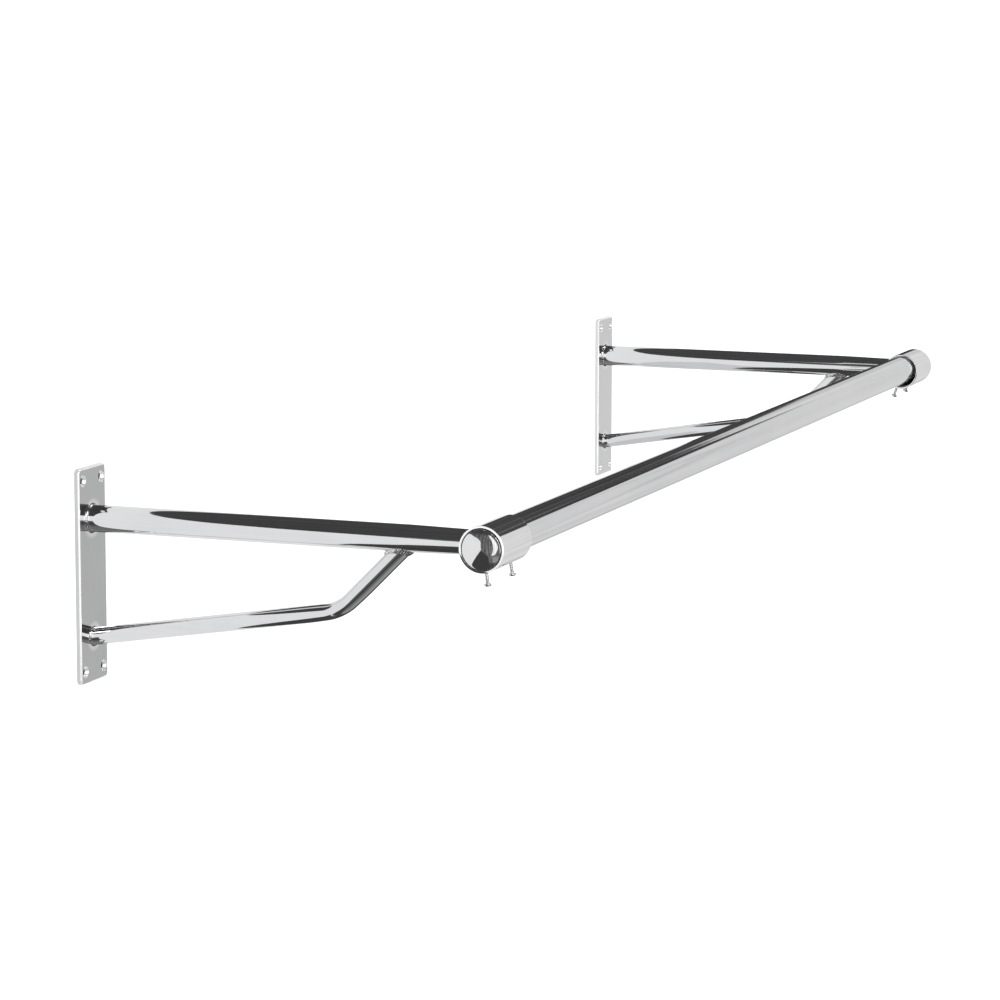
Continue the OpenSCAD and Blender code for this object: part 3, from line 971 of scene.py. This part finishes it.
# The world: flat white to the eye and to matt surfaces; mirrored surfaces see a dim studio with a pale
# far side, a dark ceiling above an uneven edge, a dark floor, and a tall soft light beside the camera.
EYE_WHITE = 1.35
LIGHT = 0.71           # tone of the pale walls
DIM = 0.048            # tone of the dark ceiling and floor
world = bpy.data.worlds.new("studio")
scene.world = world
world.use_nodes = True
g = Graph(world.node_tree)
world_out = g.add("ShaderNodeOutputWorld")
bg = g.add("ShaderNodeBackground")
bg.inputs["Color"].default_value = (1, 1, 1, 1)
g.link(bg.outputs[0], world_out.inputs[0])
direction = g.add("ShaderNodeTexCoord").outputs["Generated"]
X, Y, Z = g.split(direction)


def all_of(first, *others):
    """1 where every mask is 1."""
    out = first
    for mask in others:
        out = g.times(out, mask)
    return out


def over(base, mask, value):
    """The base, with the value laid over it where the mask is 1."""
    return g.plus(g.times(base, g.minus(1.0, mask)), g.times(mask, value))


def band(x, lo, hi, soft):
    """1 between lo and hi, with soft edges."""
    return g.times(g.step(x, lo=lo - soft, hi=lo + soft), g.below(x, lo=hi - soft, hi=hi + soft))


streaks = g.noise(g.scaled(direction, (5, 5, 34)), 1.0, detail=3.0, rough=0.6)
drift = g.noise(g.scaled(direction, (9, 9, 5)), 1.0, detail=2.0, rough=0.5)
dark = g.times(g.ramp(streaks, lo=0.3, hi=0.7, start=0.8, end=1.5), DIM)

# far side (+X): pale walls that meet in a corner line, with a few slightly darker areas
ratio = g.math("DIVIDE", Y, g.math("MAXIMUM", X, 0.05))
corner = g.minus(ratio, g.ramp(Z, lo=0.0, hi=0.26, start=-0.36, end=-0.28))
pale = over(LIGHT, g.below(ratio, lo=-0.49, hi=-0.45), 0.60)
pale = over(pale, g.below(g.size(corner), lo=0.003, hi=0.010), g.times(pale, 0.8))
pale = over(pale, band(Z, lo=-0.37, hi=-0.29, soft=0.015), g.times(pale, 0.94))
beside_wall = g.times(g.step(X, lo=0.80, hi=0.90), g.step(Y, lo=0.0, hi=0.12))
pale = over(pale, beside_wall, g.times(pale, 0.84))
pale = g.times(pale, g.ramp(drift, lo=0.3, hi=0.7, start=0.955, end=1.035))

# the dark ceiling above its uneven edge, a dark strip close to the wall, and two faint marks on the ceiling
ceiling_step = g.ramp(Y, lo=-0.10, hi=-0.06, start=0.285, end=0.325)
ceiling_fall = g.ramp(Y, lo=0.085, hi=0.225, start=0.0, end=-0.12)
above = g.step(g.minus(Z, g.plus(ceiling_step, ceiling_fall)), lo=-0.006, hi=0.006)
side = over(pale, above, dark)
strip = all_of(g.step(X, lo=0.895, hi=0.915), g.step(Y, lo=0.215, hi=0.230), g.step(Z, lo=-0.16, hi=-0.13))
side = over(side, strip, dark)
long_mark = g.times(band(Z, lo=0.344, hi=0.356, soft=0.003), g.below(Y, lo=-0.13, hi=-0.08))
side = over(side, long_mark, 0.16)
short_mark = g.times(band(Y, lo=0.03, hi=0.075, soft=0.006), band(Z, lo=0.335, hi=0.40, soft=0.008))
side = over(side, short_mark, 0.09)

# the dark floor, with a pale patch left beside the wall; it starts lower straight along the bar
floor_line = g.plus(Y, g.times(X, 0.109))
off_wall = g.below(floor_line, lo=0.380, hi=0.394)
side = over(side, all_of(g.below(Z, lo=-0.36, hi=-0.28), off_wall, g.below(X, lo=0.88, hi=0.92)), dark)
side = over(side, g.times(g.below(Z, lo=-0.50, hi=-0.42), off_wall), dark)

# near side (-X): dark and brushed, with a tall soft light beside the camera and a bowed one straight out
slope = g.math("DIVIDE", Y, g.math("MAXIMUM", g.times(X, -1.0), 0.05))
brushed = g.add("ShaderNodeCombineXYZ")
g.put(brushed.inputs[0], slope)
g.put(brushed.inputs[1], Z)
brush = g.noise(g.scaled(brushed.outputs[0], (22, 2.2, 1)), 1.0, detail=3.0, rough=0.6)
calm = g.ramp(brush, lo=0.35, hi=0.7, start=0.8, end=1.2)
strong = g.ramp(brush, lo=0.35, hi=0.7, start=0.9, end=4.6)
near = g.times(dark, over(calm, band(Z, lo=-0.50, hi=0.26, soft=0.06), strong))
tall_reach = g.times(g.step(Z, lo=-0.26, hi=-0.22), g.below(Z, lo=0.34, hi=0.40))
tall = g.times(g.below(slope, lo=-0.34, hi=-0.30), tall_reach)
near = over(near, tall, 1.25)
foot = g.times(band(slope, lo=-0.25, hi=0.0, soft=0.03), band(Z, lo=-0.50, hi=-0.33, soft=0.03))
near = over(near, foot, 0.3)
rise = g.plus(Z, 0.07)
bow = g.minus(slope, g.minus(g.times(g.times(rise, rise), 1.72), 0.105))
half = g.minus(0.075, g.times(g.size(g.plus(Z, 0.05)), 0.12))
bowed_width = g.step(g.minus(half, g.size(bow)), lo=-0.010, hi=0.010)
bowed = g.times(bowed_width, band(Z, lo=-0.29, hi=0.27, soft=0.02))
near = over(near, bowed, g.ramp(brush, lo=0.35, hi=0.65, start=0.75, end=1.25))
glint = g.times(band(slope, lo=-0.03, hi=0.0, soft=0.012), band(Z, lo=0.30, hi=0.37, soft=0.02))
near = over(near, glint, 0.9)
streak = g.times(band(slope, lo=0.285, hi=0.325, soft=0.010), g.step(g.size(Z), lo=0.42, hi=0.47))
near = over(near, streak, 0.8)

# both sides together, and a grey patch below and in front
tone = over(side, g.below(X, lo=-0.12, hi=-0.06), near)
under = all_of(g.step(X, lo=-0.95, hi=0.15), g.below(X, lo=0.45, hi=0.65), g.below(Y, lo=-0.14, hi=-0.02),
               g.below(Z, lo=-0.70, hi=-0.50))
tone = over(tone, under, g.times(g.ramp(streaks, lo=0.3, hi=0.7, start=0.75, end=1.25), 0.30))
mirrored = g.add("ShaderNodeLightPath").outputs["Is Glossy Ray"]
g.link(g.ramp(mirrored, lo=0.0, hi=1.0, start=EYE_WHITE, end=tone), bg.inputs["Strength"])


def softbox(name, place, size, power):
    """A square soft light that faces the brackets."""
    light = bpy.data.lights.new(name, "AREA")
    light.shape = "RECTANGLE"
    light.size = size
    light.size_y = size
    light.energy = power
    ob = bpy.data.objects.new(name, light)
    ob.location = place
    ob.rotation_mode = "QUATERNION"
    ob.rotation_quaternion = (Vector((0, -0.2, 0)) - Vector(place)).to_track_quat("-Z", "Y")
    scene.collection.objects.link(ob)


softbox("key_softbox", (-3.2, -3.6, 2.6), size=1.6, power=60)
softbox("rim_softbox", (2.6, -3.0, 2.2), size=1.2, power=30)

# ------------------------------------------------------------------ camera
CAMERA_PLACE = (-3.7124, -1.5421, 0.5811)
YAW = math.radians(69.213)
PITCH = math.radians(8.687)
ROLL = math.radians(0.129)
cam_data = bpy.data.cameras.new("camera")
cam = bpy.data.objects.new("camera", cam_data)
scene.collection.objects.link(cam)
cam_data.sensor_width = 36.0
cam_data.lens = 133.2
cam_data.clip_start = 0.05
cam_data.clip_end = 200.0
ahead = Vector((math.sin(YAW) * math.cos(PITCH), math.cos(YAW) * math.cos(PITCH), -math.sin(PITCH)))
level_right = Vector((math.cos(YAW), -math.sin(YAW), 0))
level_up = level_right.cross(ahead)
right = level_right * math.cos(ROLL) + level_up * math.sin(ROLL)
up = level_up * math.cos(ROLL) - level_right * math.sin(ROLL)
rows = [(right[i], up[i], -ahead[i], CAMERA_PLACE[i]) for i in range(3)]
cam.matrix_world = Matrix((*rows, (0, 0, 0, 1)))
scene.camera = cam
scene.view_settings.view_transform = "Standard"
scene.view_settings.look = "None"

bpy.context.view_layer.update()
